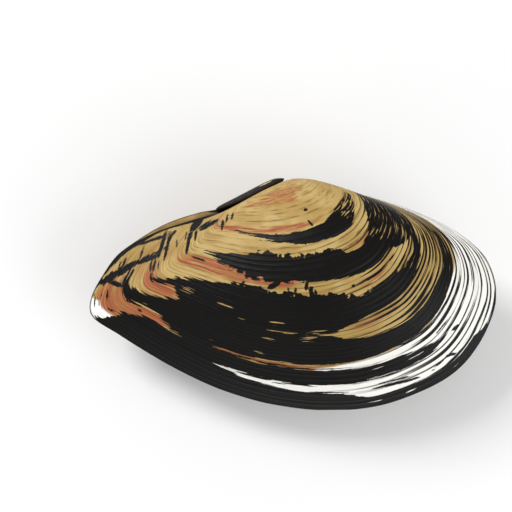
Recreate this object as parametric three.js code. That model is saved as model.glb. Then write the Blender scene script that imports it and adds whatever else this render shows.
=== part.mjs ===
// A closed mussel shell as found on a shore: the right valve, the left valve and the horny ligament
// that joins them behind the beaks. It lies on its left valve, with the right valve up.
// Millimetres. +X runs to the broad rounded front end, +Y to the hinge, +Z up.
//
// A valve is a coiled form. Its edge is a flat outline that starts and ends at the beak. Each older
// growth line is that outline shrunk towards the beak and turned up about the hinge axis, which runs
// through the beak, so the surface swells, and closes over the hinge line at the beak.

import * as THREE from "three";

// The outline of a valve's edge from the beak, back along the hinge line, round the blunt hind end,
// along the lower edge, round the front end and back to the beak: [x, y] from the beak.
const outline = [
  [0, 0], [-4, -2.1], [-8, -4.2], [-12, -6], [-16.1, -7.4], [-20.7, -8.7], [-25.4, -10.1],
  [-30.1, -11.7], [-35, -14], [-39.6, -17.1], [-43, -21.6], [-46, -27.4], [-46, -31.2],
  [-39.4, -36], [-27.8, -43.1], [-16.1, -48.7], [-4.4, -52.2], [7.2, -53.7], [18.9, -53.2],
  [30.5, -49.7], [39.9, -44.2], [46.2, -35.5], [48.7, -26.6], [46.2, -18.3], [39.9, -12.4],
  [30.5, -7.6], [18.9, -3.7], [8, -1], [0, 0],
];
const overlap = 1.2; // the left valve's edge stands out past the right one's behind the ligament,
const overlapReach = [17, 22, 26, 42]; // from and to these lengths of edge from the beak

const hingeSlope = THREE.MathUtils.degToRad(18); // fall of the hinge axis towards the hind end
const beakTurn = THREE.MathUtils.degToRad(115); // how far the oldest growth line has turned up
const turnRate = 0.45; // how early it turns: larger is more swollen
const hindTempo = 0.72; // how a growth line shrinks at its hind end, against 1 at its front
const tempoBearings = [35, 175].map(THREE.MathUtils.degToRad); // one passes into the other here
const hindDroop = THREE.MathUtils.degToRad(10); // old growth lines hang lower at the hinge
const droopBearings = [120, 158].map(THREE.MathUtils.degToRad);

const lipHeight = 0.6; // the blunt edge of a valve
const valveGap = 0.3; // between the two edges
const wall = 1.3; // at the edge and where the valve is most swollen
const hingePlate = 2.6; // width of the solid edge under the hinge
const swelling = 16; // of the coiled form

const growthRests = [0.345, 0.475, 0.63, 0.785, 0.875]; // where growth paused and left a ledge
const restHeight = 0.35; // height of such a ledge
const restDrop = 0.012; // share of growth over which it falls away
const reliefSpread = [8, 30]; // a ledge fades out between these spreads of the growth lines
const youngestGrowth = 0.035; // the tip of the beak
const sweepSteps = 60; // faces round an edge
const beakRows = 6; // rows of faces from the beak's tip to the first ledge
const ledgeRows = 3; // rows of faces between two ledges
const cavityRows = 8;

const ligamentReach = [0.8, 18.5]; // where it starts and ends, along the hinge line from the beak
const ligamentHeight = 2.3; // at its highest, above the valves' edges
const ligamentWidth = 3.2; // across both valves
const ligamentGap = 0.9; // between the edges and its underside
const ligamentStations = 16;
const ligamentArcs = 6; // faces over its back, and as many under it

const restRoll = THREE.MathUtils.degToRad(12.4); // how the closed shell leans when it lies at rest
const restPitch = THREE.MathUtils.degToRad(-1.2);
const wearDepth = 0.35; // the small flat worn where it touches the surface it lies on

const upAxis = new THREE.Vector3(0, 0, 1);
const hingeAxis = new THREE.Vector3(Math.cos(hingeSlope), Math.sin(hingeSlope), 0);

const { lerp, smoothstep } = THREE.MathUtils;

const edge = new THREE.CatmullRomCurve3(
  outline.map(([x, y]) => new THREE.Vector3(x, y, 0)),
  false,
  "centripetal",
);
edge.arcLengthDivisions = 2000;
const edgeLength = edge.getLength();
const edgeBox = new THREE.Box3().setFromPoints(edge.getSpacedPoints(400));

// The direction in the plane of the edge that points away from the valve.
function edgeOutward(sweep) {
  const tangent = edge.getTangentAt(sweep);
  return new THREE.Vector3(tangent.y, -tangent.x, 0);
}

function rightEdge(sweep) {
  return edge.getPointAt(sweep);
}

function leftEdge(sweep) {
  const reach = sweep * edgeLength;
  const [from, full, falling, to] = overlapReach;
  const share = smoothstep(reach, from, full) * (1 - smoothstep(reach, falling, to));
  return edge.getPointAt(sweep).addScaledVector(edgeOutward(sweep), overlap * share);
}

// The coiled form: where the growth line of some age passes inside a point of today's edge.
function coiledPoint(edgePoint, growth) {
  const bearing = Math.atan2(-edgePoint.y, edgePoint.x);
  const tempo = lerp(1, hindTempo, smoothstep(bearing, ...tempoBearings));
  const droop = hindDroop * (1 - growth) * smoothstep(bearing, ...droopBearings);
  const turn = beakTurn * (1 - growth ** turnRate);
  return edgePoint
    .clone()
    .applyAxisAngle(upAxis, droop)
    .multiplyScalar(growth ** tempo)
    .applyAxisAngle(hingeAxis, -turn);
}

// Each year's growth thickens towards its rest and then falls away, like shingles on a roof. The
// growth lines spread with the distance from the beak to the edge's tangent, and a ledge fades out
// towards the hinge, where they crowd together.
function ledge(growth, sweep) {
  const next = growthRests.findIndex((rest) => growth <= rest);
  if (next < 0) return 0;
  const start = next ? growthRests[next - 1] + restDrop : 0;
  const grown = Math.max(0, (growth - start) / (growthRests[next] - start));
  const spread = edge.getPointAt(sweep).cross(edge.getTangentAt(sweep)).length();
  return restHeight * smoothstep(spread, ...reliefSpread) * grown ** 4;
}

function outerPoint(edgeAt, growth, sweep) {
  const step = 1e-3;
  const here = edgeAt(sweep);
  const point = coiledPoint(here, growth);
  const alongGrowth = coiledPoint(here, growth * (1 - step)).sub(point);
  const alongSweep = coiledPoint(edgeAt(sweep + step), growth).sub(point);
  const normal = alongSweep.cross(alongGrowth).normalize();
  point.addScaledVector(normal, ledge(growth, sweep));
  point.z += lipHeight + valveGap / 2;
  return point;
}

// The hollow is the coiled form again, squeezed towards its own middle by the wall.
function cavityPoint(edgeAt, growth, sweep) {
  const point = coiledPoint(edgeAt(sweep), growth);
  const size = edgeBox.getSize(new THREE.Vector3());
  const middle = edgeBox.getCenter(new THREE.Vector3());
  point.x = middle.x + (point.x - middle.x) * (1 - (2 * wall) / size.x);
  point.y = point.y * (1 - (wall + hingePlate) / size.y) - hingePlate;
  point.z = point.z * (1 - (wall - lipHeight) / swelling) + valveGap / 2;
  return point;
}

function growthRows() {
  const rows = [];
  const firstRatio = growthRests[0] / youngestGrowth;
  for (let i = 0; i < beakRows; i++) rows.push(youngestGrowth * firstRatio ** (i / beakRows));
  growthRests.forEach((rest, k) => {
    const start = rest + restDrop;
    const end = growthRests[k + 1] ?? 1;
    rows.push(rest);
    for (let i = 0; i < ledgeRows; i++) rows.push(start + ((end - start) * i) / ledgeRows);
  });
  rows.push(1);
  return rows;
}

// Collects vertices and the faces between loops of them.
class Skin {
  positions = [];
  faces = [];

  vertex(point) {
    this.positions.push(point.x, point.y, point.z);
    return this.positions.length / 3 - 1;
  }

  face(a, b, c) {
    if (a !== b && b !== c && c !== a) this.faces.push(a, b, c);
  }

  // A band of faces between two closed loops with as many vertices. A vertex in both is shared.
  band(inner, outer) {
    inner.forEach((_, i) => {
      const j = (i + 1) % inner.length;
      this.face(inner[i], outer[i], outer[j]);
      this.face(inner[i], outer[j], inner[j]);
    });
  }

  // Closes a loop with faces that meet at its first vertex.
  cap(loop) {
    for (let i = 1; i < loop.length - 1; i++) this.face(loop[0], loop[i], loop[i + 1]);
  }

  // A closed skin through loops, capped at both ends.
  wrap(loops) {
    this.cap(loops[0]);
    for (let i = 1; i < loops.length; i++) this.band(loops[i - 1], loops[i]);
    this.cap(loops.at(-1).toReversed());
  }

  geometry() {
    const geometry = new THREE.BufferGeometry();
    geometry.setAttribute("position", new THREE.Float32BufferAttribute(this.positions, 3));
    geometry.setIndex(this.faces);
    geometry.computeVertexNormals();
    return geometry;
  }

  mirrored() {
    for (let i = 2; i < this.positions.length; i += 3) this.positions[i] *= -1;
    this.faces.reverse();
    return this;
  }
}

// A loop through one shared beak vertex and the points at each step round the edge.
function sweepLoop(skin, beak, pointAt) {
  const loop = [beak];
  for (let j = 1; j < sweepSteps; j++) loop.push(skin.vertex(pointAt(j / sweepSteps)));
  return loop;
}

// A right valve. A left one is made from its own edge and then mirrored.
function valveSkin(edgeAt) {
  const skin = new Skin();
  const half = valveGap / 2;
  const beak = skin.vertex(new THREE.Vector3(0, 0, lipHeight + half));
  const outside = growthRows().map((growth) =>
    sweepLoop(skin, beak, (sweep) => outerPoint(edgeAt, growth, sweep)),
  );
  const rim = sweepLoop(skin, skin.vertex(new THREE.Vector3(0, 0, half)), (sweep) =>
    edgeAt(sweep).setZ(half),
  );
  const hollowBeak = skin.vertex(cavityPoint(() => new THREE.Vector3(), 1, 0));
  const hollow = Array.from({ length: cavityRows + 1 }, (_, i) => {
    const growth = youngestGrowth ** (1 - Math.sqrt(1 - i / cavityRows));
    return sweepLoop(skin, hollowBeak, (sweep) => cavityPoint(edgeAt, growth, sweep));
  });
  skin.wrap([...outside, rim, ...hollow]);
  return skin;
}

// The ligament is a ridge over the hinge line: an arch that spans both edges, flat underneath. It
// swells from the beak and ends bluntly.
function ligamentSkin() {
  const skin = new Skin();
  const loops = [];
  for (let i = 0; i <= ligamentStations; i++) {
    const share = i / ligamentStations;
    const sweep = lerp(...ligamentReach, share) / edgeLength;
    const swell = Math.sin(Math.PI * share ** 0.75) ** 0.5;
    const halfWidth = (ligamentWidth / 2) * (0.45 + 0.55 * swell);
    const height = (ligamentHeight - ligamentGap) * (0.25 + 0.75 * swell);
    const loop = [];
    for (let k = 0; k < 2 * ligamentArcs; k++) {
      const angle = (-Math.PI * k) / ligamentArcs;
      const up = ligamentGap + height * Math.max(0, Math.sin(angle)) ** 0.8;
      const point = rightEdge(sweep).addScaledVector(edgeOutward(sweep), up);
      loop.push(skin.vertex(point.setZ(halfWidth * Math.cos(angle))));
    }
    loops.push(loop);
  }
  skin.wrap(loops);
  return skin;
}

function piece(name, skin, color, roughness) {
  const material = new THREE.MeshStandardMaterial({ color, roughness, metalness: 0 });
  const mesh = new THREE.Mesh(skin.geometry(), material);
  mesh.name = name;
  return mesh;
}

// Wears the lowest part of a geometry flat.
function wearFlat(geometry, depth) {
  geometry.computeBoundingBox();
  const floor = geometry.boundingBox.min.z + depth;
  const position = geometry.getAttribute("position");
  for (let i = 0; i < position.count; i++) position.setZ(i, Math.max(floor, position.getZ(i)));
  geometry.computeBoundingBox();
}

const rightValve = piece("right_valve", valveSkin(rightEdge), 0x8f7446, 0.5);
const leftValve = piece("left_valve", valveSkin(leftEdge).mirrored(), 0x86693c, 0.5);
const ligament = piece("ligament", ligamentSkin(), 0x2a170b, 0.4);

const shell = new THREE.Group();
shell.add(rightValve, leftValve, ligament);

const lean = new THREE.Matrix4().makeRotationFromEuler(new THREE.Euler(restRoll, restPitch, 0));
shell.children.forEach((mesh) => mesh.geometry.applyMatrix4(lean));
wearFlat(leftValve.geometry, wearDepth);

const box = new THREE.Box3().setFromObject(shell);
const centre = box.getCenter(new THREE.Vector3());
shell.position.set(-centre.x, -centre.y, -box.min.z);

export default shell;
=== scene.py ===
"""A closed mussel shell that lies on its left valve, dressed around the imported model.

The tables are in millimetres from the beak, in the flat plane of the valves' edges: x runs to the
broad front end and y to the hinge. Growth is 0 at the tip of the beak and 1 at today's edge. Sweep is
the share of an edge's length, from the beak back along the hinge and round to the beak. A bearing is
the angle round the beak in degrees, from the front over the lower edge to the hind end.
"""

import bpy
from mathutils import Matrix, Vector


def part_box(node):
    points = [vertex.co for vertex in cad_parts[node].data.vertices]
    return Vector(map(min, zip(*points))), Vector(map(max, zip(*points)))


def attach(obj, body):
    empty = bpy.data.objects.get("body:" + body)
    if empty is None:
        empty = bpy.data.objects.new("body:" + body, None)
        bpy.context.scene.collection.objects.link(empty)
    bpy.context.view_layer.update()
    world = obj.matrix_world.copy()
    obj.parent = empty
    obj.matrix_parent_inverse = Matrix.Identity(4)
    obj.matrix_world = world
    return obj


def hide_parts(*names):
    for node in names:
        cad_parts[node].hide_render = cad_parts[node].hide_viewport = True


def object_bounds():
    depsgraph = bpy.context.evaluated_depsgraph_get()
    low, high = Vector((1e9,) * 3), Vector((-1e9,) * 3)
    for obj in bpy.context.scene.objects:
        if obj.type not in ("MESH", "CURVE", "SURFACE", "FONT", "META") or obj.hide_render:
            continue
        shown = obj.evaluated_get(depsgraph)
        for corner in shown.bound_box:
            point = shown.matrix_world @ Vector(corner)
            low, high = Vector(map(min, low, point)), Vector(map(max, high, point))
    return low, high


bl_info = {
    "name": "Mussel Shell",
    "version": (1, 0, 0),
    "blender": (4, 5, 0),
    "location": "3D View > Sidebar > Mussel",
    "description": "Banded valves, horny ligament and a plain studio for a closed mussel shell",
    "category": "Add Mesh",
}

import bpy
import numpy as np
from bpy.props import FloatProperty, FloatVectorProperty, IntProperty, PointerProperty
from bpy.types import Operator, Panel, PropertyGroup
from mathutils import Matrix, Vector

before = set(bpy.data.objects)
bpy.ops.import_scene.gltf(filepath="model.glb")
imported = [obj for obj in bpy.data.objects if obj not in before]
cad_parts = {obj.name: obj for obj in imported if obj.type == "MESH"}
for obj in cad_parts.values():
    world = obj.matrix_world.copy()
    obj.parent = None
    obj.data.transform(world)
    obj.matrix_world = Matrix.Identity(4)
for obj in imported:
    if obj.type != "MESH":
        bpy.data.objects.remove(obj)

MM = 0.001

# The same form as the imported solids.
OUTLINE = (
    (0, 0), (-4, -2.1), (-8, -4.2), (-12, -6), (-16.1, -7.4), (-20.7, -8.7), (-25.4, -10.1),
    (-30.1, -11.7), (-35, -14), (-39.6, -17.1), (-43, -21.6), (-46, -27.4), (-46, -31.2),
    (-39.4, -36), (-27.8, -43.1), (-16.1, -48.7), (-4.4, -52.2), (7.2, -53.7), (18.9, -53.2),
    (30.5, -49.7), (39.9, -44.2), (46.2, -35.5), (48.7, -26.6), (46.2, -18.3), (39.9, -12.4),
    (30.5, -7.6), (18.9, -3.7), (8, -1), (0, 0),
)
OVERLAP = 1.2
OVERLAP_REACH = (17, 22, 26, 42)
HINGE_SLOPE = np.radians(18)
BEAK_TURN = np.radians(115)
TURN_RATE = 0.45
HIND_TEMPO = 0.72
TEMPO_BEARINGS = np.radians((35, 175))
HIND_DROOP = np.radians(10)
DROOP_BEARINGS = np.radians((120, 158))
LIP_HEIGHT = 0.6
VALVE_GAP = 0.3
WALL = 1.3
HINGE_PLATE = 2.6
SWELLING = 16
GROWTH_RESTS = (0.345, 0.475, 0.63, 0.785, 0.875)
# Growth between two fine lines, before the first rest and after each.
LINE_SPACINGS = (0.026, 0.020, 0.017, 0.0155, 0.024, 0.026)
RELIEF_SPREAD = (8, 30)
YOUNGEST_GROWTH = 0.035
HOLLOW_ROWS = 22
SOLID_STEPS = 60
LIGAMENT_REACH = (0.8, 18.5)
LIGAMENT_HEIGHT = 2.3
LIGAMENT_WIDTH = 3.2
REST_ROLL = np.radians(12.4)
REST_PITCH = np.radians(-1.2)

# Growth at the beak's tip and at the first fine line, the rows of points between these two, how far
# a line strays from its even place, and where its own rows of points lie.
TIP_GROWTH = 0.004
FIRST_LINE = 0.03
TIP_ROWS = 12
LINE_SHIFT = 0.22
LINE_ROWS = (0, 0.3, 0.55, 0.8, 0.93, 1.0)

# The dark line along the hinge, painted shadow of the ligament along its stretch, starts at this
# bearing, and in front of it is this far off.
HIND_FROM = 145
OFF_HINGE = 5
# Depths in a mark stay within this many millimetres, and the inside lies this far out of all.
DEPTH_LIMIT = 6
OUT_OF_MARKS = -3
# The least spread of the growth lines that turns growth into millimetres.
LEAST_SPREAD = 8
# Millimetres that a dark band and the pale growth lose for each degree past their ends.
BAND_TAPER = 0.45
PALE_TAPER = 0.3

# Where each dark band starts and ends in growth, by bearing, from the beak outwards. The bands are
# the skin's dark growth bands with painted shade added: over the lower slope, at bearings of about
# 40 to 140, they are widened into painted shade, and the second band's dark patch near the front of
# the hinge, at bearings of about 10 to 30, is painted shade.
DARK_BANDS_AND_SHADE = (
    ((13, 0.27, 0.30), (22, 0.262, 0.325), (34, 0.27, 0.35), (44, 0.28, 0.355), (55, 0.29, 0.35),
     (80, 0.295, 0.34), (105, 0.29, 0.32), (125, 0.285, 0.296), (138, 0.281, 0.284)),
    ((12, 0.36, 0.60), (20, 0.36, 0.60), (27, 0.385, 0.56), (34, 0.41, 0.51), (44, 0.425, 0.50),
     (52, 0.42, 0.50), (58, 0.39, 0.495), (70, 0.378, 0.48), (90, 0.375, 0.465),
     (110, 0.355, 0.465), (125, 0.37, 0.44), (141, 0.40, 0.405)),
    ((20, 0.55, 0.59), (30, 0.59, 0.62), (42, 0.565, 0.63), (60, 0.56, 0.635), (68, 0.53, 0.645),
     (75, 0.52, 0.665), (92, 0.505, 0.65), (98, 0.51, 0.69), (110, 0.485, 0.765), (120, 0.495, 0.76),
     (128, 0.52, 0.72), (134, 0.54, 0.655), (138, 0.55, 0.605), (145, 0.62, 0.64)),
    ((20, 0.72, 0.75), (30, 0.715, 0.765), (50, 0.715, 0.775), (64, 0.705, 0.78),
     (71, 0.69, 0.78), (77, 0.665, 0.78), (100, 0.63, 0.78), (112, 0.60, 0.79), (119, 0.60, 0.82),
     (123, 0.61, 0.84), (127, 0.63, 0.825), (130, 0.645, 0.803), (134, 0.66, 0.785), (140, 0.70, 0.77),
     (144, 0.72, 0.79), (149, 0.78, 0.825)),
    ((43, 0.856, 0.858), (50, 0.835, 0.868), (58, 0.82, 0.87), (76, 0.805, 0.874), (86, 0.797, 0.88),
     (110, 0.797, 0.868), (118, 0.80, 0.90), (124, 0.80, 0.90), (128, 0.81, 0.90), (134, 0.825, 0.90),
     (139, 0.84, 0.90)),
    ((40, 0.96, 1.05), (70, 0.945, 1.05), (76, 0.915, 1.05), (90, 0.905, 1.05),
     (105, 0.892, 1.05), (115, 0.865, 1.05), (126, 0.825, 1.05), (134, 0.82, 1.05),
     (138, 0.83, 1.05), (140, 0.86, 1.05), (142, 0.90, 1.05), (143.5, 0.96, 1.05),
     (147, 1.02, 1.06)),
)
# Where the pale new growth starts, by bearing.
PALE_FROM = (
    (5, 0.92), (16, 0.84), (23, 0.79), (32, 0.765), (60, 0.78), (74, 0.785), (82, 0.80), (90, 0.83),
    (98, 0.855), (112, 0.862), (119, 0.94), (138, 0.94), (142, 0.915), (145, 0.925), (147.5, 0.94),
    (149.5, 1.0), (151, 1.06), (156, 1.15),
)
# Coral arcs along the growth lines: from and to a bearing, from and to a growth, and strength.
CORAL_ARCS = (
    (30, 90, 0.065, 0.125, 0.75), (68, 152, 0.085, 0.17, 0.78), (45, 78, 0.262, 0.29, 0.7),
    (70, 155, 0.255, 0.292, 0.85), (28, 48, 0.39, 0.43, 0.7), (84, 125, 0.44, 0.485, 1.0),
    (108, 147, 0.425, 0.49, 0.95), (38, 58, 0.52, 0.55, 0.7), (50, 72, 0.64, 0.67, 0.7),
    (130, 150, 0.60, 0.68, 1.0), (62, 118, 0.783, 0.81, 0.95), (126, 152, 0.775, 0.87, 1.0),
    (136, 154, 0.86, 0.97, 0.95), (146, 158, 0.70, 0.78, 0.7), (146, 154, 0.48, 0.60, 0.75),
)
# A coral arc's rise about its start and its fall about its end, in degrees and in growth.
CORAL_BEARING_FADES = ((-12, 10), (-6, 6))
CORAL_GROWTH_FADES = ((-0.015, 0.01), (-0.01, 0.015))
# Bearings over which the edges of dark bands get ragged, and then clean again.
RAGGED_STARTS = ((44, 56), (112, 124))
RAGGED_ENDS = ((78, 90), (120, 130))
FRAYED = ((52, 62), (100, 112))
# The tear along the third band's end, at the bearings of the frayed one: growth and half width.
TEAR = (0.655, 0.012)
# Where the dark lines are heavier, in growth, and the bearings over which that fades.
HEAVY_GROWTH = ((0.58, 0.66), (0.77, 0.80))
HEAVY_BEARINGS = (36, 62)
SHOULDER_GROWTH = ((0.3, 0.4), (0.8, 0.87))
SHOULDER_BEARINGS = (14, 36)
# Small dark spots: x, y and radius.
DARK_SPOTS = ((3.05, -6.5, 0.42), (16.8, -22.0, 0.4), (13.6, -23.6, 0.45))
# Ragged dark rays that run back over the hind slope: bearing, from and to a growth, and half the
# width in millimetres at both ends.
DARK_RAYS = ((151.6, 0.60, 1.0, 0.15, 0.95), (152.6, 0.36, 0.45, 0.3, 0.35))
# A ray's least width and how much more it wavers, its steps and knots, and its taper at the ends.
RAY_WAVER = (0.3, 1.2)
RAY_STEPS = 400
RAY_KNOTS = 90
RAY_TAPER = 20
# Short dark wrinkles of the skin, most of them across the hind slope: x and y of both ends and half
# the width in the middle.
WRINKLES = (
    (-15.4, -8.9, -15.8, -11.5, 0.34), (-14.3, -7.6, -14.8, -9.8, 0.27),
    (-13.1, -7.4, -13.6, -9.0, 0.26),
    (-22.9, -11.5, -23.9, -17.2, 0.42), (-21.5, -11.3, -21.9, -14.0, 0.32),
    (-23.7, -11.7, -24.2, -13.9, 0.22), (-22.4, -11.5, -22.8, -13.3, 0.26),
    (-20.0, -8.6, -23.0, -11.6, 0.8), (-16.4, -8.9, -21.0, -11.6, 0.45),
    (-28.4, -11.3, -30.4, -18.0, 0.46), (-27.5, -11.5, -29.0, -18.6, 0.38),
    (-27.0, -12.0, -28.2, -15.2, 0.26), (-26.0, -13.6, -26.1, -15.6, 0.22),
    (-26.1, -11.4, -27.2, -12.7, 0.35), (-33.6, -15.0, -34.7, -18.3, 0.24),
    (-29.0, -12.9, -32.6, -14.1, 0.4), (-32.0, -13.9, -35.2, -15.0, 0.35),
    (-29.6, -17.0, -35.6, -19.4, 0.5), (-31.8, -18.3, -32.3, -21.2, 0.28),
    (-30.9, -17.9, -31.5, -21.2, 0.28), (-30.1, -18.3, -30.4, -20.9, 0.2),
    (-35.9, -20.3, -36.8, -22.3, 0.3), (-36.9, -20.6, -37.2, -21.6, 0.2),
    (-37.8, -17.9, -38.8, -20.4, 0.26), (-39.1, -18.3, -39.5, -20.3, 0.24),
    (-45.2, -26.1, -45.2, -29.6, 0.2), (-44.2, -27.3, -44.2, -29.6, 0.2),
    (-42.0, -25.2, -42.3, -28.2, 0.3), (-43.5, -25.8, -43.5, -27.3, 0.16),
    (-41.2, -21.2, -41.8, -24.0, 0.45), (-42.4, -23.3, -37.6, -24.7, 0.6),
    (-38.2, -22.0, -38.2, -25.2, 0.32), (-38.3, -27.4, -33.8, -29.1, 0.28),
    (-22.6, -17.3, -19.4, -18.4, 0.3), (-26.6, -21.8, -23.2, -23.2, 0.26),
    (-2.6, -22.6, -5.6, -24.2, 0.7), (3.3, -22.4, 2.9, -24.6, 0.4), (4.2, -23.4, 4.0, -25.8, 0.45),
    (5.3, -24.0, 5.0, -25.8, 0.3), (0.8, -23.8, 0.4, -25.6, 0.3), (-0.8, -23.4, -1.0, -25.0, 0.28),
    (-3.6, -11.8, -3.8, -13.6, 0.35), (2.8, -12.4, 2.9, -14.6, 0.3), (2.6, -49.1, 14.2, -49.0, 0.22),
    (18.8, -48.3, 30.8, -45.6, 0.4), (20.3, -47.0, 27.8, -45.2, 0.28),
    (32.6, -44.8, 36.8, -40.4, 0.24), (36.0, -40.7, 39.2, -40.1, 0.42),
    (33.3, -35.2, 37.0, -30.8, 0.2), (37.3, -34.6, 39.2, -33.0, 0.45),
    (3.4, -8.8, 4.6, -10.2, 0.3), (-42.4, -29.4, -40.3, -30.5, 0.26),
    (-39.4, -30.2, -37.2, -31.0, 0.28), (-35.2, -29.7, -34.0, -30.4, 0.3),
)
# Clusters of pale flecks inside the dark bands: bearing and growth of the middle, and half of both.
FLECKS = (
    (133, 0.60, 4, 0.032), (119, 0.60, 4, 0.014), (110, 0.635, 3, 0.012), (95, 0.625, 9, 0.014),
    (98, 0.695, 4, 0.014), (84, 0.675, 8, 0.02), (116, 0.775, 4, 0.012), (101, 0.755, 4, 0.012),
    (68, 0.975, 3, 0.008), (60, 0.975, 3, 0.008), (48, 0.98, 3, 0.008), (65, 0.832, 3, 0.008),
    (54, 0.848, 5, 0.008), (127, 0.815, 2, 0.008),
)
# The dark line along the hinge, painted shadow between the ligament and the valve along the
# ligament's stretch: distance from the beak and the line's width.
HINGE_LINE_AND_SHADOW = (
    (1.5, 0), (5, 0.45), (9, 0.7), (16, 0.75), (24, 0.75), (29, 0.45), (33.5, 0.45), (37, 1.0),
    (41.5, 1.1), (44, 1.1), (48, 0.4), (52, 0),
)


def from_srgb(red, green, blue):
    """The linear colour of three sRGB values from 0 to 255."""
    share = np.array((red, green, blue)) / 255
    linear = np.where(share <= 0.04045, share / 12.92, ((share + 0.055) / 1.055) ** 2.4)
    return tuple(float(value) for value in linear)


def smooth(value, start, end):
    """0 up to start and 1 past end, with a smooth rise in between."""
    share = np.clip((value - start) / (end - start), 0, 1)
    return share * share * (3 - 2 * share)


def between(value, rise, fall):
    """A smooth rise from 0 to 1 over one stretch and a fall back to 0 over another."""
    return smooth(value, *rise) * (1 - smooth(value, *fall))


def faded(value, start, end, fades):
    """1 from start to end, with a rise about the start and a fall about the end."""
    rise, fall = fades
    return between(value, (start + rise[0], start + rise[1]), (end + fall[0], end + fall[1]))


def length(name, description, millimetres):
    """A length setting whose default is given in millimetres."""
    return FloatProperty(
        name=name, description=description, default=millimetres * MM, precision=5, unit="LENGTH")


class ReliefSizes(PropertyGroup):
    """Sizes of the growth lines and of the ligament's grooves."""

    line_spread: FloatProperty(
        name="Line spread", description="Spacing of the fine growth lines, against the usual one",
        default=1, min=0.8, max=4)
    line_height: length("Line height", "Height of a fine growth line", 0.11)
    rest_height: length("Rest height", "Height of the ledge where growth paused", 0.3)
    dent_height: length("Dent height", "Depth of the broad, shallow dents", 0.12)
    lip_round: length("Lip round", "Radius of the lip at a valve's edge", 0.25)
    groove_spacing: length("Groove spacing", "Between the ligament's cross grooves", 0.55)
    groove_depth: length("Groove depth", "Depth of the ligament's cross grooves", 0.05)
    columns: IntProperty(
        name="Columns", description="Points round a valve's edge", default=280, min=60, max=300)


def colour(name, description, *srgb):
    """A colour setting whose default is given in sRGB values from 0 to 255."""
    return FloatVectorProperty(
        name=name, description=description, default=from_srgb(*srgb), size=3, subtype="COLOR",
        min=0, max=1)


class SkinColours(PropertyGroup):
    """Colours of the valves, the ligament and the floor."""

    tan: colour("Tan", "Main colour of the skin", 174, 144, 84)
    straw: colour("Straw", "Lighter parts of the skin", 190, 163, 104)
    ochre: colour("Ochre", "Darker parts of the skin", 152, 120, 62)
    coral: colour("Coral", "Streaks along the growth lines", 162, 90, 58)
    hairline: colour("Hairline", "Thin brown growth lines", 74, 50, 24)
    # Dark also paints the shade over the lower slope and the ligament's shadow.
    dark: colour("Dark", "The dark growth bands", 10, 8, 7)
    pale: colour("Pale", "New growth along the edge", 252, 250, 243)
    lip: colour("Lip", "The thin edge of a valve", 38, 26, 16)
    nacre: colour("Nacre", "Inside of the valves", 222, 220, 216)
    horn: colour("Horn", "The ligament", 17, 10, 7)
    worn_horn: colour("Worn horn", "Where the ligament is worn", 190, 165, 120)
    floor: colour("Floor", "The floor", 238, 238, 238)


class StudioSettings(PropertyGroup):
    """The camera and the lights."""

    lens: FloatProperty(
        name="Lens", description="Focal length in millimetres", default=100, min=20, max=300,
        unit="CAMERA")
    distance: length("Camera distance", "From the camera to the shell", 331.5)
    tilt_to_hinge: FloatProperty(
        name="Tilt to the hinge", description="How far the camera stands to the hinge's side",
        default=np.radians(3), subtype="ANGLE")
    tilt_to_hind: FloatProperty(
        name="Tilt to the hind end", description="How far the camera stands to the hind end",
        default=np.radians(2), subtype="ANGLE")
    key_power: FloatProperty(
        name="Key light", description="Its power in watts", default=9.5, unit="POWER")
    front_power: FloatProperty(
        name="Front light", description="Its power in watts", default=0.4, unit="POWER")
    fill_power: FloatProperty(
        name="Fill light", description="Its power in watts", default=2, unit="POWER")
    room_light: FloatProperty(name="Room light", description="Brightness of the room", default=0.56)


def unit(vectors):
    """The vectors, each divided by its own length."""
    return vectors / np.maximum(np.linalg.norm(vectors, axis=-1, keepdims=True), 1e-12)


def smooth_line(points, steps=200):
    """A smooth line through the points and the length along it.

    It is a centripetal Catmull-Rom line: between two points it is the cubic whose slopes at both come
    from the neighbours on either side, each weighed by the square root of its distance.
    """
    known = np.array(points, float)
    known = np.vstack([2 * known[0] - known[1], known, 2 * known[-1] - known[-2]])
    before, start, end, after = known[:-3], known[1:-2], known[2:-1], known[3:]
    knot_before = np.sqrt(np.linalg.norm(start - before, axis=1))[:, None]
    knot = np.sqrt(np.linalg.norm(end - start, axis=1))[:, None]
    knot_after = np.sqrt(np.linalg.norm(after - end, axis=1))[:, None]
    leaving = knot * (
        (start - before) / knot_before - (end - before) / (knot_before + knot) + (end - start) / knot)
    arriving = knot * (
        (end - start) / knot - (after - start) / (knot + knot_after) + (after - end) / knot_after)
    share = np.linspace(0, 1, steps, endpoint=False)[:, None, None]
    square = -3 * start + 3 * end - 2 * leaving - arriving
    cube = 2 * start - 2 * end + leaving + arriving
    line = start + leaving * share + square * share**2 + cube * share**3
    line = np.vstack([line.swapaxes(0, 1).reshape(-1, 2), known[-2]])
    reach = np.concatenate([[0], np.cumsum(np.linalg.norm(np.diff(line, axis=0), axis=1))])
    return line, reach


EDGE_LINE, EDGE_REACH = smooth_line(OUTLINE)
EDGE_LENGTH = EDGE_REACH[-1]
HINGE_AXIS = np.array((np.cos(HINGE_SLOPE), np.sin(HINGE_SLOPE), 0))


def edge_at(sweep):
    """The edge's points in its flat plane at these shares of its length."""
    reach = np.clip(sweep, 0, 1) * EDGE_LENGTH
    return np.stack([np.interp(reach, EDGE_REACH, EDGE_LINE[:, axis]) for axis in (0, 1)], -1)


def outward_at(sweep):
    """The direction across the edge, away from the valve: its tangent turned by a quarter turn."""
    step = 2e-4
    tangent = unit(edge_at(sweep + step) - edge_at(sweep - step))
    return np.stack([tangent[..., 1], -tangent[..., 0]], -1)


def valve_edge(sweep, overlap):
    """The edge of one valve. It stands out by overlap over a stretch behind the ligament."""
    reach = sweep * EDGE_LENGTH
    start, full, falling, end = OVERLAP_REACH
    share = smooth(reach, start, full) * (1 - smooth(reach, falling, end))
    return edge_at(sweep) + outward_at(sweep) * (overlap * share)[:, None]


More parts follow.
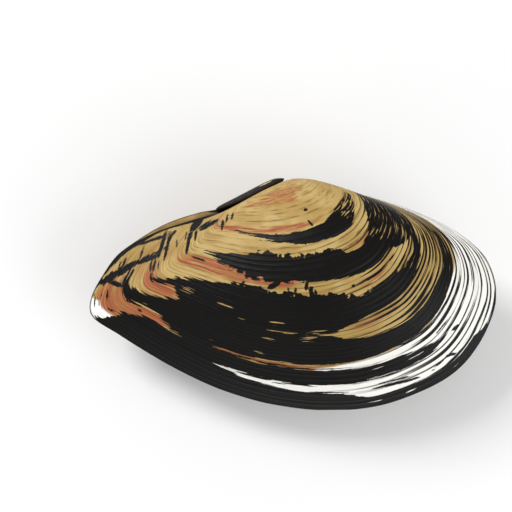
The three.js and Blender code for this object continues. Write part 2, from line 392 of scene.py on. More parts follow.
def coil(edge, growth):
    """Where the growth lines pass: one row for each growth, one column for each point of the edge.

    The edge's point is turned in its plane by the droop, shrunk towards the beak by growth to the
    power of its tempo, and turned up about the hinge axis by the beak's turn times one less growth
    to the power of the turn rate.
    """
    bearing = np.arctan2(-edge[:, 1], edge[:, 0])
    tempo = 1 + (HIND_TEMPO - 1) * smooth(bearing, *TEMPO_BEARINGS)
    growth = growth[:, None]
    droop = HIND_DROOP * (1 - growth) * smooth(bearing, *DROOP_BEARINGS)
    size = growth**tempo
    across = size * (edge[:, 0] * np.cos(droop) - edge[:, 1] * np.sin(droop))
    up = size * (edge[:, 0] * np.sin(droop) + edge[:, 1] * np.cos(droop))
    turn = -BEAK_TURN * (1 - growth**TURN_RATE)
    along_hinge = (across * HINGE_AXIS[0] + up * HINGE_AXIS[1]) * (1 - np.cos(turn))
    lift = (up * HINGE_AXIS[0] - across * HINGE_AXIS[1]) * np.sin(turn)
    return np.stack([
        across * np.cos(turn) + HINGE_AXIS[0] * along_hinge,
        up * np.cos(turn) + HINGE_AXIS[1] * along_hinge,
        lift,
    ], -1)


def waver(rng, rows, columns, knots):
    """Seeded values from 0 to 1 that change smoothly along each row between evenly spaced knots."""
    values = rng.random((rows, knots + 1))
    place = np.linspace(0, knots, columns, endpoint=False)
    left = place.astype(int)
    share = smooth(place - left, 0, 1)
    return values[:, left] * (1 - share) + values[:, left + 1] * share


def dents(rng, growth, columns):
    """A broad uneven surface from -1 to 1: wavering rows, joined smoothly from each to the next."""
    rows, knots = 14, 18
    values = waver(rng, rows + 1, columns, knots) * 2 - 1
    place = np.clip(growth, 0, 0.999) * rows
    low = place.astype(int)
    share = smooth(place - low, 0, 1)[:, None]
    return values[low] * (1 - share) + values[low + 1] * share


def growth_rows(rng, line_spread):
    """The growth of each row of points, the growth line it belongs to and its share of that line.

    Between two rests the lines are evenly spaced with a small seeded shift. Each line has rows from
    just past the line before it to its own crest, closer together towards the crest. On the beak's
    tip each row's growth is the last one's times the same number.
    """
    ends = np.array((FIRST_LINE, *GROWTH_RESTS, 1.0))
    spacings = np.array(LINE_SPACINGS) * line_spread
    counts = np.maximum(1, np.round(np.diff(ends) / spacings).astype(int))
    lines = [np.array([FIRST_LINE])]
    for start, end, count in zip(ends[:-1], ends[1:], counts):
        inner = (np.arange(1, count) + rng.uniform(-LINE_SHIFT, LINE_SHIFT, count - 1)) / count
        lines.append(np.concatenate([start + (end - start) * inner, [end]]))
    lines = np.concatenate(lines)
    width = np.diff(lines)[:, None]
    drop = np.minimum(0.006, 0.12 * width)
    share = np.array(LINE_ROWS)[None, :]
    growth = lines[:-1, None] + drop + (width - drop) * share
    number = np.repeat(np.arange(len(width)) + 1, share.size)
    tip = np.geomspace(TIP_GROWTH, FIRST_LINE, TIP_ROWS)
    return (
        np.concatenate([tip, growth.ravel()]),
        np.concatenate([np.zeros(TIP_ROWS, int), number]),
        np.concatenate([np.zeros(TIP_ROWS), np.tile(share.ravel(), len(width))]),
    )


def rest_ledge(growth):
    """How high a growth rest's ledge stands: the share grown since the last rest, to the fourth."""
    rests = np.array(GROWTH_RESTS)
    following = np.searchsorted(rests, growth - 1e-9)
    ends = np.append(rests, np.inf)[following]
    starts = np.concatenate([[0], rests + 0.012])[following]
    return np.clip((growth - starts) / (ends - starts), 0, 1) ** 4


def outside_points(sizes, edge_of, growth, number, share, rng):
    """A valve's outside: the coil, raised along its normal by its ledges, lines and dents.

    A line rises with the third power of its share, by a height that wavers along it. Ledges and
    lines fade where the growth lines crowd together at the hinge, and near the beak.
    """
    columns = sizes.columns
    sweep = np.arange(columns) / columns
    step = 1e-3
    edge = edge_of(sweep)
    points = coil(edge, growth)
    along_growth = coil(edge, growth * (1 - step)) - points
    along_sweep = coil(edge_of(sweep + step), growth) - points
    normal = unit(np.cross(along_sweep, along_growth))
    outward = outward_at(sweep)
    spread = np.abs(np.sum(edge_at(sweep) * outward, axis=1))
    fade = smooth(spread, *RELIEF_SPREAD)[None, :]
    heights = 0.35 + 0.65 * waver(rng, number.max() + 1, columns, 40)[number]
    lines = share[:, None] ** 3 * heights * smooth(growth, 0.08, 0.4)[:, None]
    ledges = rest_ledge(growth)[:, None] * (0.75 + 0.25 * waver(rng, 1, columns, 60))
    relief = (sizes.line_height * lines + sizes.rest_height * ledges) / MM * fade
    relief += sizes.dent_height / MM * dents(rng, growth, columns) * fade * (1 - growth[:, None])
    points += normal * relief[..., None]
    points[..., 2] += LIP_HEIGHT + VALVE_GAP / 2
    return points


def lip_points(sizes, edge_of):
    """The blunt edge: straight down from the outside, then a quarter round to the flat underside."""
    sweep = np.arange(sizes.columns) / sizes.columns
    radius = sizes.lip_round / MM
    angles = np.radians((0, 30, 60, 90))
    inset = radius * (1 - np.cos(angles))
    height = VALVE_GAP / 2 + radius * (1 - np.sin(angles))
    flat = edge_of(sweep)[None] - outward_at(sweep)[None] * inset[:, None, None]
    flat[:, 0] = 0
    levels = np.broadcast_to(height[:, None, None], flat.shape[:2] + (1,))
    return np.concatenate([flat, levels], -1)


def hollow_points(sizes, edge_of, growth):
    """The inside of a valve: the coil squeezed towards its middle by the wall."""
    sweep = np.arange(sizes.columns) / sizes.columns
    points = coil(edge_of(sweep), growth)
    low, high = EDGE_LINE.min(0), EDGE_LINE.max(0)
    size, middle = high - low, (high + low) / 2
    points[..., 0] = middle[0] + (points[..., 0] - middle[0]) * (1 - 2 * WALL / size[0])
    points[..., 1] = points[..., 1] * (1 - (WALL + HINGE_PLATE) / size[1]) - HINGE_PLATE
    points[..., 2] = points[..., 2] * (1 - (WALL - LIP_HEIGHT) / SWELLING) + VALVE_GAP / 2
    return points


def lean_matrix():
    """The lean of the shell at rest: a pitch about y, then a roll about x."""
    roll, pitch = REST_ROLL, REST_PITCH
    about_x = np.array((
        (1, 0, 0), (0, np.cos(roll), -np.sin(roll)), (0, np.sin(roll), np.cos(roll))))
    about_y = np.array((
        (np.cos(pitch), 0, np.sin(pitch)), (0, 1, 0), (-np.sin(pitch), 0, np.cos(pitch))))
    return about_x @ about_y


LEAN = lean_matrix()


def resting_place():
    """How far the leaned shell moves to its place: its right valve's lowest corner is the solid's.

    All three of that corner's values come from the valve's edge, so the edge's own points are
    leaned, at the steps that the solid has, and their lowest corner is set on it.
    """
    flat = edge_at(np.arange(SOLID_STEPS) / SOLID_STEPS)
    levels = [np.full((SOLID_STEPS, 1), VALVE_GAP / 2 + height) for height in (0, LIP_HEIGHT)]
    leaned = np.vstack([np.hstack([flat, level]) for level in levels]) @ LEAN.T
    return np.array(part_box("right_valve")[0]) - leaned.min(0) * MM


PLACE = resting_place()
SHELL_BOX = np.array([tuple(corner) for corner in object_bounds()])


def lie_down(points):
    """Takes points from the edge's plane to the shell's rest, in metres."""
    return points @ LEAN.T * MM + PLACE


def seen_bearing(points):
    """The bearing of points in degrees, past 180 for those beyond the hinge."""
    bearing = np.degrees(np.arctan2(-points[..., 1], points[..., 0]))
    return np.where(bearing < -90, bearing + 360, bearing)


def wrinkle_depth(points, start, end, half_width):
    """How far inside a wrinkle each point lies.

    It is an ellipse along a straight line: its half width times the root of one less the square of
    the share of the way from its middle to an end, less the distance from the line.
    """
    start, along = np.array(start), np.subtract(end, start)
    share = ((points[..., :2] - start) @ along / (along @ along)).clip(0, 1)
    away = np.linalg.norm(points[..., :2] - start - share[..., None] * along, axis=-1)
    return half_width * np.sqrt(1 - (2 * share - 1) ** 2) - away


def band_depth(points, growth, bearing, spread, inward):
    """How far inside a dark band each point lies, in millimetres, and whether its start is nearer.

    The distance to a band's start or end is the difference in growth times the spread of the
    growth lines, and the smaller one counts. Beyond the bearings of a band it falls away. The
    bands take in painted shade over the lower slope and near the front of the hinge. A ray's
    distance is across it, and its width wavers. A spot's is from its middle, a wrinkle's from its
    line and the hinge line's, painted shadow of the ligament along its stretch, from the valve's
    edge. Each point takes the mark that it is deepest in, whose number is given too.
    """
    froms, tos = [], []
    for band in DARK_BANDS_AND_SHADE:
        known, starts, ends = np.array(band).T
        beyond = np.maximum(known[0] - bearing, bearing - known[-1]).clip(0) * BAND_TAPER
        froms.append((growth[:, None] - np.interp(bearing, known, starts)) * spread - beyond)
        tos.append((np.interp(bearing, known, ends) - growth[:, None]) * spread - beyond)
    distance = np.linalg.norm(points[..., :2], axis=-1)
    ray_seed = 5
    ragged = waver(np.random.default_rng(ray_seed), len(DARK_RAYS), RAY_STEPS, RAY_KNOTS)
    marks = []
    for (middle, start, end, narrow, wide), widths in zip(DARK_RAYS, ragged):
        aside = np.abs(bearing - middle) * np.pi / 180 * distance
        past = np.maximum(start - growth, growth - end).clip(0)
        half_width = np.interp(growth, (start, end), (narrow, wide))
        wavering = np.interp(growth, np.linspace(0, 1, RAY_STEPS), widths)
        half_width *= RAY_WAVER[0] + RAY_WAVER[1] * wavering
        marks.append((half_width - RAY_TAPER * past)[:, None] - aside)
    for across, up, radius in DARK_SPOTS:
        marks.append(radius - np.hypot(points[..., 0] - across, points[..., 1] - up))
    for left, left_up, right, right_up, half_width in WRINKLES:
        marks.append(wrinkle_depth(points, (left, left_up), (right, right_up), half_width))
    # The hinge line; along the ligament it is painted shadow between ligament and valve.
    known, widths = np.array(HINGE_LINE_AND_SHADOW).T
    off_hinge = OFF_HINGE * (bearing < HIND_FROM)
    marks.append(np.interp(distance, known, widths) - inward - off_hinge)
    froms, tos = np.array(froms + marks), np.array(tos + marks)
    depths = np.minimum(froms, tos)
    deepest = np.argmax(depths, axis=0)[None]
    depth = np.take_along_axis(depths, deepest, 0)[0].clip(-DEPTH_LIMIT, DEPTH_LIMIT)
    starting = np.take_along_axis(froms < tos, deepest, 0)[0]
    return depth, starting, deepest[0]


def skin_fields(points, growth, share):
    """What the skin's material reads at each point of a valve's outside."""
    outward = outward_at(np.arange(points.shape[1]) / points.shape[1])
    inward = np.sum((points[-1:, :, :2] - points[..., :2]) * outward, axis=-1)
    bearing = seen_bearing(points)
    spread = np.linalg.norm(np.gradient(points, growth, axis=0), axis=-1).clip(LEAST_SPREAD)
    # Depth in the dark marks, with the painted shade over the lower slope in the bands.
    depth, starting, band = band_depth(points, growth, bearing, spread, inward)
    level = growth[:, None] + 0 * bearing
    pale_bearings, pale_growth = np.array(PALE_FROM).T
    pale = (level - np.interp(bearing, pale_bearings, pale_growth)) * spread
    pale -= PALE_TAPER * (bearing - pale_bearings[-1]).clip(0)
    coral = np.zeros_like(level)
    for low, high, start, end, strength in CORAL_ARCS:
        inside = faded(bearing, low, high, CORAL_BEARING_FADES)
        inside *= faded(level, start, end, CORAL_GROWTH_FADES)
        coral = np.maximum(coral, inside * strength)
    front = 1 - smooth(bearing, 48, 84)
    heavy = between(level, *HEAVY_GROWTH) * (1 - smooth(bearing, *HEAVY_BEARINGS))
    shoulder = between(level, *SHOULDER_GROWTH) * (1 - smooth(bearing, *SHOULDER_BEARINGS))
    inked = front * smooth(level, 0.28, 0.46) + np.maximum(heavy, shoulder)
    second, third, fifth = band == 1, band == 2, band == 4
    ragged = np.where(
        starting, between(bearing, *RAGGED_STARTS) * (second | third),
        between(bearing, *RAGGED_ENDS) * second)
    hind = smooth(bearing, 108, 128)
    frayed = 0.9 * fifth * between(bearing, *FRAYED)
    torn = np.exp(-((level - TEAR[0]) / TEAR[1]) ** 2) * between(bearing, *FRAYED)
    front_streaks = (1 - smooth(bearing, 30, 48)) * smooth(level, 0.24, 0.28)
    gaps = np.maximum(front_streaks * np.where(level < 0.36, 1.1, 0.95), torn)
    for middle, age, reach, width in FLECKS:
        cluster = np.exp(-((bearing - middle) / reach) ** 2 - ((level - age) / width) ** 2)
        gaps = np.maximum(gaps, 1.2 * cluster)
    return {
        "band": depth,
        "starting": starting,
        "ragged": ragged,
        "streaky": np.where(band < len(DARK_BANDS_AND_SHADE), 0.7 + 0.9 * hind + frayed, 0.22),
        "gaps": gaps,
        "pale": pale.clip(-DEPTH_LIMIT, DEPTH_LIMIT),
        "coral": coral,
        "line": share[:, None] + 0 * bearing,
        "inked": inked,
        "bearing": bearing,
        "lip": smooth(level, 0.990, 0.998),
    }


def loop_triangles(count, columns):
    """The rows and columns of the corners of all faces between closed loops, and of two end caps.

    Between two loops each column has two triangles. A cap is a fan from its loop's first point. A
    column equal to the number of columns is the first one again.
    """
    row, column = np.meshgrid(np.arange(count - 1), np.arange(columns), indexing="ij")
    row, column = row.ravel(), column.ravel()
    fan = np.arange(1, columns - 1)
    zero = np.zeros_like(fan)
    last = zero + count - 1
    rows = np.vstack([
        np.stack([row, row + 1, row + 1], 1), np.stack([row, row + 1, row], 1),
        np.stack([zero, zero, zero], 1), np.stack([last, last, last], 1)])
    columns_of = np.vstack([
        np.stack([column, column, column + 1], 1), np.stack([column, column + 1, column + 1], 1),
        np.stack([zero, fan, fan + 1], 1), np.stack([zero, fan + 1, fan], 1)])
    return rows, columns_of


def closed_mesh(name, points, poles, heights, fields, turned=False, inner_from=None):
    """A closed mesh through loops of points, with a UV map of column share and height.

    poles gives, for each loop, the loop whose first point it shares. fields are values at each
    point. turned faces have their corners in the other order. Faces from the loop inner_from on take
    the second material.
    """
    count, columns = points.shape[:2]
    index = np.arange(count * columns).reshape(count, columns)
    index[:, 0] = index[poles, 0]
    rows, column = loop_triangles(count, columns)
    if turned:
        rows, column = rows[:, ::-1], column[:, ::-1]
    corners = index[rows, column % columns]
    real = (corners[:, 0] != corners[:, 1]) & (corners[:, 1] != corners[:, 2])
    real &= corners[:, 2] != corners[:, 0]
    corners, rows, column = corners[real], rows[real], column[real]
    used, packed = np.unique(corners, return_inverse=True)
    mesh = bpy.data.meshes.new(name)
    mesh.vertices.add(len(used))
    mesh.vertices.foreach_set("co", points.reshape(-1, 3)[used].ravel())
    mesh.loops.add(corners.size)
    mesh.loops.foreach_set("vertex_index", packed.ravel().astype(np.int32))
    mesh.polygons.add(len(corners))
    mesh.polygons.foreach_set("loop_start", np.arange(0, corners.size, 3, dtype=np.int32))
    mesh.update(calc_edges=True)
    mesh.polygons.foreach_set("use_smooth", np.ones(len(corners), bool))
    layer = mesh.uv_layers.new(name="growth")
    layer.data.foreach_set("uv", np.stack([column / columns, heights[rows]], -1).ravel())
    for field, values in fields.items():
        whole = np.zeros((count, columns))
        whole[:len(values)] = values
        attribute = mesh.attributes.new(field, "FLOAT", "POINT")
        attribute.data.foreach_set("value", whole.ravel()[used])
    if inner_from is not None:
        inside = (rows.min(1) >= inner_from).astype(np.int32)
        mesh.polygons.foreach_set("material_index", inside)
    if mesh.validate():
        raise RuntimeError(name + " has faces that Blender had to mend")
    piece = bpy.data.objects.new(name, mesh)
    bpy.context.scene.collection.objects.link(piece)
    return piece


def valve_piece(name, sizes, overlap, side, seed):
    """One valve. side is 1 for the right valve and -1 for the left one, its mirror image."""
    rng = np.random.default_rng(seed)

    def edge_of(sweep):
        return valve_edge(sweep, overlap)

    growth, number, share = growth_rows(rng, sizes.line_spread)
    outside = outside_points(sizes, edge_of, growth, number, share, rng)
    fields = skin_fields(outside, growth, share)
    lip = lip_points(sizes, edge_of)
    hollow_growth = YOUNGEST_GROWTH ** (1 - np.sqrt(1 - np.linspace(0, 1, HOLLOW_ROWS)))
    hollow = hollow_points(sizes, edge_of, hollow_growth)
    points = np.concatenate([outside, lip, hollow])
    points[..., 2] *= side
    placed = np.clip(lie_down(points), SHELL_BOX[0], SHELL_BOX[1])
    lip_rows = len(outside) + np.arange(len(lip))
    hollow_start = len(outside) + len(lip)
    poles = np.concatenate([
        np.zeros(len(outside), int), lip_rows, np.full(len(hollow), hollow_start)])
    heights = np.concatenate([growth, np.ones(len(lip)), hollow_growth])
    for field, values in fields.items():
        rim_values = np.repeat(values[-1:], len(lip) + 1, axis=0)
        fields[field] = np.concatenate([values, rim_values])
    # The lip's dark edge fades out towards its flat underside, which has neither band nor new growth.
    fields["lip"][len(outside):] = np.array((0.9, 0.75, 0.4, 0, 0))[:, None]
    fields["band"][hollow_start - 1:] = OUT_OF_MARKS
    fields["pale"][hollow_start - 1:] = OUT_OF_MARKS
    return closed_mesh(
        name, placed, poles, heights, fields, turned=side < 0, inner_from=hollow_start)


def ligament_piece(name, sizes):
    """The ligament: an arch carried along the hinge, with cross grooves and closed round ends.

    At each station the section is an arch of the swelling width and height over the edge, and its
    underside dips towards the valves. The grooves lower its back by a cosine along its length.
    """
    stations, arcs = 220, 64
    share = np.linspace(0, 1, stations)[:, None]
    angle = -2 * np.pi * np.arange(arcs)[None, :] / arcs
    low, high = LIGAMENT_REACH
    reach = low + (high - low) * share[:, 0]
    sweep = reach / EDGE_LENGTH
    swell = np.sin(np.pi * share**0.75).clip(0) ** 0.5
    end_share = np.minimum(share / 0.16, (1 - share) / 0.045).clip(0, 1)
    end_round = np.sqrt(1 - (1 - end_share) ** 2)
    half_width = LIGAMENT_WIDTH / 2 * (0.45 + 0.55 * swell) * (0.12 + 0.88 * end_round)
    top = LIGAMENT_HEIGHT * (0.42 + 0.58 * swell)
    middle, bottom = 0.9, 0.25
    rise = (top - middle) * (0.1 + 0.9 * end_round)
    arch = np.sin(-angle)
    crest = middle + rise * arch.clip(0) ** 0.8 - (middle - bottom) * end_round * (-arch).clip(0)
    groove = 0.5 + 0.5 * np.cos(2 * np.pi * reach[:, None] * MM / sizes.groove_spacing)
    crest -= sizes.groove_depth / MM * groove**4 * arch.clip(0) * end_round
    edge, outward = edge_at(sweep), outward_at(sweep)
    flat = edge[:, None] + outward[:, None] * crest[..., None]
    level = half_width * np.cos(angle)
    points = np.concatenate([flat, level[..., None]], -1)
    placed = np.clip(lie_down(points), SHELL_BOX[0], SHELL_BOX[1])
    worn = np.exp(-((share - 0.25) / 0.14) ** 2 - ((np.degrees(-angle) - 50) / 17) ** 2)
    fields = {"groove": groove + 0 * angle, "worn": worn}
    return closed_mesh(
        name, placed, np.arange(stations), reach / EDGE_LENGTH, fields, turned=True)


class Finish:
    """A material, with short calls that add its nodes and join them."""

    def __init__(self, name):
        self.material = bpy.data.materials.new(name)
        self.material.use_nodes = True
        self.tree = self.material.node_tree
        self.tree.nodes.clear()
        self.shader = self.tree.nodes.new("ShaderNodeBsdfPrincipled")
        output = self.tree.nodes.new("ShaderNodeOutputMaterial")
        self.tree.links.new(self.shader.outputs["BSDF"], output.inputs["Surface"])

    def feed(self, socket, value):
        """Joins an output to a socket, or sets a plain value on it."""
        if isinstance(value, bpy.types.NodeSocket):
            self.tree.links.new(value, socket)
        elif hasattr(value, "__len__") and socket.type == "RGBA":
            socket.default_value = (*value[:3], 1)
        else:
            socket.default_value = value

    def set(self, **values):
        """Sets the shader's sockets, with underscores for the spaces in their names."""
        for name, value in values.items():
            self.feed(self.shader.inputs[name.replace("_", " ")], value)

    def attribute(self, name):
        """A value that the mesh holds at each point."""
        node = self.tree.nodes.new("ShaderNodeAttribute")
        node.attribute_name = name
        return node.outputs["Fac"]

    def coordinates(self, kind, lengths):
        """Coordinates divided by these lengths."""
        source = self.tree.nodes.new("ShaderNodeTexCoord")
        mapping = self.tree.nodes.new("ShaderNodeMapping")
        mapping.vector_type = "TEXTURE"
        mapping.inputs["Scale"].default_value = lengths
        self.tree.links.new(source.outputs[kind], mapping.inputs["Vector"])
        return mapping.outputs["Vector"]

    def along_lines(self, across, along):
        """Coordinates on the skin: a share of the sweep and a share of growth make one unit."""
        return self.coordinates("UV", (across, along, 1))

    def noise(self, vector, detail, roughness):
        """Smooth noise, about 0.5, that changes over one unit of its coordinates."""
        node = self.tree.nodes.new("ShaderNodeTexNoise")
        self.feed(node.inputs["Vector"], vector)
        node.inputs["Scale"].default_value = 1
        node.inputs["Detail"].default_value = detail
        node.inputs["Roughness"].default_value = roughness
        return node.outputs["Fac"]

    def maths(self, operation, first, second):
        """One Math node."""
        node = self.tree.nodes.new("ShaderNodeMath")
        node.operation = operation
        for socket, value in zip(node.inputs, (first, second)):
            self.feed(socket, value)
        return node.outputs[0]

    def times(self, first, second):
        """The product of two values."""
        return self.maths("MULTIPLY", first, second)

    def swing(self, noise, reach):
        """Noise, which strays by a third, turned into a distance of about reach either way."""
        centred = self.maths("SUBTRACT", noise, 0.5)
        return self.times(centred, self.times(reach, 3.0))

    def add(self, *values):
        """The sum of several values."""
        total = values[0]
        for value in values[1:]:
            total = self.maths("ADD", total, value)
        return total

    def rise(self, value, start, end, low=0.0, high=1.0):
        """From low up to start to high past end, with a smooth rise in between."""
        node = self.tree.nodes.new("ShaderNodeMapRange")
        node.interpolation_type = "SMOOTHSTEP"
        for socket, given in zip(node.inputs, (value, start, end, low, high)):
            self.feed(socket, given)
        return node.outputs[0]

    def blend(self, share, first, second):
        """The first colour where share is 0 and the second where it is 1."""
        node = self.tree.nodes.new("ShaderNodeMix")
        node.data_type = "RGBA"
        self.feed(node.inputs[0], share)
        self.feed(node.inputs[6], first)
        self.feed(node.inputs[7], second)
        return node.outputs[2]

    def pair(self, first, second):
        """A vector of two values."""
        node = self.tree.nodes.new("ShaderNodeCombineXYZ")
        self.feed(node.inputs[0], first)
        self.feed(node.inputs[1], second)
        return node.outputs[0]

    def bump(self, height, distance):
        """Raises the surface's look by height times distance."""
        node = self.tree.nodes.new("ShaderNodeBump")
        self.feed(node.inputs["Height"], height)
        node.inputs["Distance"].default_value = distance
        self.set(Normal=node.outputs["Normal"])


def skin_finish(colours):
    """The valves' horny skin: tan, coral streaks, dark bands with painted shade, pale new growth."""
    skin = Finish("banded_skin")
    long_streaks = skin.noise(skin.along_lines(0.07, 0.010), 3, 0.6)
    thin_streaks = skin.noise(skin.along_lines(0.045, 0.007), 3, 0.55)
    far_streaks = skin.noise(skin.along_lines(0.11, 0.022), 2, 0.55)
    mottle = skin.noise(skin.coordinates("Object", (7 * MM,) * 3), 3, 0.55)
    specks = skin.noise(skin.coordinates("Object", (0.7 * MM,) * 3), 3, 0.6)
    blots = skin.noise(skin.coordinates("Object", (1.5 * MM,) * 3), 2, 0.5)
    teeth_place = skin.pair(
        skin.times(skin.attribute("bearing"), 0.24), skin.times(skin.attribute("band"), 0.22))
    teeth = skin.noise(teeth_place, 3, 0.6)

    ground = skin.blend(skin.rise(mottle, 0.38, 0.62), colours.tan, colours.straw)
    ground = skin.blend(
        skin.rise(far_streaks, 0.48, 0.66, 0.0, 0.65), ground, colours.ochre)
    coral_streaks = skin.add(long_streaks, skin.times(skin.attribute("coral"), 0.5))
    ground = skin.blend(skin.rise(coral_streaks, 0.72, 1.06), ground, colours.coral)
    pale_reach = skin.add(skin.attribute("pale"), skin.swing(long_streaks, 0.5))
    ground = skin.blend(skin.rise(pale_reach, -0.35, 0.35), ground, colours.pale)

    line = skin.attribute("line")
    inked = skin.attribute("inked")
    hair = skin.times(skin.rise(line, 0.7, 0.97), skin.rise(thin_streaks, 0.4, 0.62, 0.0, 0.65))
    ground = skin.blend(hair, ground, colours.hairline)
    heavier = skin.maths("MAXIMUM", skin.maths("SUBTRACT", inked, 1.0), 0.0)
    line_start = skin.maths(
        "SUBTRACT", skin.rise(far_streaks, 0.35, 0.65, 0.80, 0.40), skin.times(heavier, 0.3))
    ink_line = skin.rise(line, line_start, skin.maths("ADD", line_start, 0.08))
    ink = skin.times(ink_line, skin.rise(long_streaks, 0.38, 0.46))
    ink = skin.times(ink, skin.maths("MINIMUM", inked, 1.0))

    streaky, starting = skin.attribute("streaky"), skin.attribute("starting")
    ragged = skin.attribute("ragged")
    # The dark bands, with their painted shade over the lower slope and near the hinge's front.
    depth = skin.add(
        skin.attribute("band"), skin.swing(specks, 0.1),
        skin.swing(teeth, ragged), skin.swing(blots, ragged),
        skin.times(skin.swing(long_streaks, streaky), starting),
        skin.times(skin.swing(thin_streaks, streaky), skin.maths("SUBTRACT", 1.0, starting)))
    band = skin.rise(depth, -0.10, 0.10)
    gap_streaks = skin.add(thin_streaks, skin.times(skin.attribute("gaps"), 0.3))
    band = skin.times(band, skin.rise(gap_streaks, 0.85, 0.90, 1.0, 0.0))

    dark = skin.maths("MAXIMUM", skin.maths("MAXIMUM", band, ink), skin.attribute("lip"))
    skin.set(
        Base_Color=skin.blend(dark, ground, colours.dark),
        Roughness=skin.add(
            skin.rise(dark, 0, 1, 0.48, 0.38), skin.rise(specks, 0.3, 0.7, -0.05, 0.05)),
        IOR=1.5, Specular_IOR_Level=0.14)
    striae = skin.noise(skin.along_lines(0.05, 0.0016), 2, 0.6)
    skin.bump(skin.add(skin.times(striae, 0.8), skin.times(specks, 0.35)), 0.06 * MM)
    return skin.material


def nacre_finish(colours):
    """The pearly inside of the valves."""
    nacre = Finish("nacre")
    clouds = nacre.noise(nacre.coordinates("Object", (9 * MM,) * 3), 3, 0.6)
    rings = nacre.noise(nacre.along_lines(0.2, 0.02), 2, 0.5)
    ground = nacre.blend(nacre.rise(clouds, 0.35, 0.65), colours.nacre, (0.62, 0.6, 0.66))
    ground = nacre.blend(nacre.rise(rings, 0.4, 0.7, 0.0, 0.4), ground, (0.7, 0.62, 0.55))
    nacre.set(
        Base_Color=ground, Roughness=nacre.rise(clouds, 0.3, 0.7, 0.2, 0.34),
        IOR=1.6, Coat_Weight=0.4, Coat_Roughness=0.12)
    nacre.bump(rings, 0.05 * MM)
    return nacre.material


def horn_finish(colours):
    """The ligament's dark horn, with cross grooves and a worn, paler place near the beak."""
    horn = Finish("dark_horn")
    grain = horn.noise(horn.coordinates("Object", (0.8 * MM,) * 3), 3, 0.6)
    fibres = horn.noise(horn.along_lines(0.004, 0.0012), 2, 0.6)
    ground = horn.blend(horn.rise(fibres, 0.35, 0.65), colours.horn, colours.lip)
    ground = horn.blend(horn.times(horn.attribute("groove"), 0.6), ground, colours.dark)
    worn = horn.maths("ADD", horn.attribute("worn"), horn.swing(grain, 0.2))
    ground = horn.blend(horn.rise(worn, 0.62, 0.8), ground, colours.worn_horn)
    horn.set(
        Base_Color=ground, Roughness=horn.rise(grain, 0.3, 0.7, 0.3, 0.5),
        IOR=1.54, Specular_IOR_Level=0.18)
    horn.bump(horn.add(grain, horn.times(fibres, 0.6)), 0.06 * MM)
    return horn.material


def floor_finish(colours):
    """The plain pale floor."""
    floor = Finish("pale_floor")
    floor.set(Base_Color=colours.floor, Roughness=0.85)
    return floor.material


class MUSSEL_OT_valves(Operator):
    """Makes both valves with their skins"""

    bl_idname = "mussel.valves"
    bl_label = "Make the valves"

    def execute(self, context):
        sizes, colours = context.scene.mussel_sizes, context.scene.mussel_colours
        skin, nacre = skin_finish(colours), nacre_finish(colours)
        for name, node, overlap, side, seed in (
            ("right_valve_shell", "right_valve", 0, 1, 11),
            ("left_valve_shell", "left_valve", OVERLAP, -1, 23),
        ):
            piece = valve_piece(name, sizes, overlap, side, seed)
            piece.data.materials.append(skin)
            piece.data.materials.append(nacre)
            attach(piece, "root")
            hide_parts(node)
        return {"FINISHED"}


class MUSSEL_OT_ligament(Operator):
    """Makes the ligament with its horn"""

    bl_idname = "mussel.ligament"
    bl_label = "Make the ligament"

    def execute(self, context):
        piece = ligament_piece("ligament_ridge", context.scene.mussel_sizes)
        piece.data.materials.append(horn_finish(context.scene.mussel_colours))
        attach(piece, "root")
        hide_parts("ligament")
        return {"FINISHED"}


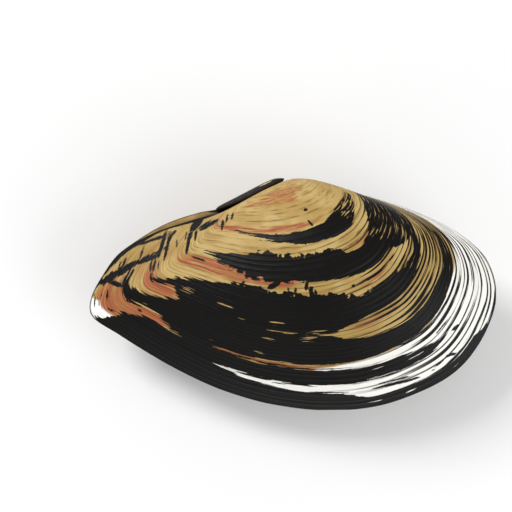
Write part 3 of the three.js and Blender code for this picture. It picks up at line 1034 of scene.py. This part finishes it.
class MUSSEL_OT_studio(Operator):
    """Makes the floor, the lights and the camera"""

    bl_idname = "mussel.studio"
    bl_label = "Make the studio"

    def execute(self, context):
        scene, studio = context.scene, context.scene.mussel_studio
        half_floor = 1.5
        corners = [
            (-half_floor, -half_floor, 0), (half_floor, -half_floor, 0),
            (half_floor, half_floor, 0), (-half_floor, half_floor, 0),
        ]
        mesh = bpy.data.meshes.new("floor")
        mesh.from_pydata(corners, [], [(0, 1, 2, 3)])
        floor = bpy.data.objects.new("floor", mesh)
        mesh.materials.append(floor_finish(scene.mussel_colours))
        scene.collection.objects.link(floor)

        # The camera looks at this place, in millimetres from the beak.
        middle = np.array((-7.69, -17.6, 0.45))
        back = np.array((-np.tan(studio.tilt_to_hind), np.tan(studio.tilt_to_hinge), 1))
        back = Vector(LEAN @ unit(back))
        right = Vector(LEAN[:, 0])
        right = (right - right.dot(back) * back).normalized()
        above = back.cross(right)
        target = Vector(lie_down(middle))
        lens = bpy.data.cameras.new("camera")
        lens.lens = studio.lens
        lens.sensor_width = 36
        lens.clip_start = 0.01
        camera = bpy.data.objects.new("camera", lens)
        turn = Matrix((right, above, back)).transposed().to_4x4()
        camera.matrix_world = Matrix.Translation(target + back * studio.distance) @ turn
        scene.collection.objects.link(camera)
        scene.camera = camera

        for name, power, size, place in (
            ("key_light", studio.key_power, 0.4, (-0.68, 0.60, 0.72)),
            ("fill_light", studio.fill_power, 0.5, (0.5, -0.35, 0.3)),
            ("front_light", studio.front_power, 0.5, (-0.3, -0.5, 0.35)),
        ):
            light = bpy.data.lights.new(name, "AREA")
            light.energy = power
            light.size = size
            lamp = bpy.data.objects.new(name, light)
            lamp.location = target + Vector(place)
            lamp.rotation_euler = Vector(place).to_track_quat("Z", "Y").to_euler()
            scene.collection.objects.link(lamp)
        world = bpy.data.worlds.new("room")
        world.use_nodes = True
        background = world.node_tree.nodes["Background"]
        background.inputs["Color"].default_value = (1, 1, 1, 1)
        background.inputs["Strength"].default_value = studio.room_light
        scene.world = world
        scene.view_settings.view_transform = "Standard"
        return {"FINISHED"}


class MUSSEL_PT_panel(Panel):
    """Lists the shell's settings and operators in the sidebar"""

    bl_idname = "MUSSEL_PT_panel"
    bl_label = "Mussel shell"
    bl_space_type = "VIEW_3D"
    bl_region_type = "UI"
    bl_category = "Mussel"

    def draw(self, context):
        layout = self.layout
        for group in (
            context.scene.mussel_sizes, context.scene.mussel_colours, context.scene.mussel_studio,
        ):
            column = layout.column(align=True)
            for name in group.bl_rna.properties.keys():
                if name not in ("rna_type", "name"):
                    column.prop(group, name)
        for operator in OPERATORS:
            layout.operator(operator.bl_idname)


OPERATORS = (MUSSEL_OT_valves, MUSSEL_OT_ligament, MUSSEL_OT_studio)
CLASSES = (ReliefSizes, SkinColours, StudioSettings, *OPERATORS, MUSSEL_PT_panel)


def register():
    """Adds the classes and their settings to Blender."""
    for made in CLASSES:
        bpy.utils.register_class(made)
    bpy.types.Scene.mussel_sizes = PointerProperty(type=ReliefSizes)
    bpy.types.Scene.mussel_colours = PointerProperty(type=SkinColours)
    bpy.types.Scene.mussel_studio = PointerProperty(type=StudioSettings)


def unregister():
    """Takes them away again."""
    del bpy.types.Scene.mussel_studio
    del bpy.types.Scene.mussel_colours
    del bpy.types.Scene.mussel_sizes
    for made in reversed(CLASSES):
        bpy.utils.unregister_class(made)


def main():
    """Makes the shell and its studio."""
    register()
    bpy.ops.mussel.valves()
    bpy.ops.mussel.ligament()
    bpy.ops.mussel.studio()


if __name__ == "__main__":
    main()
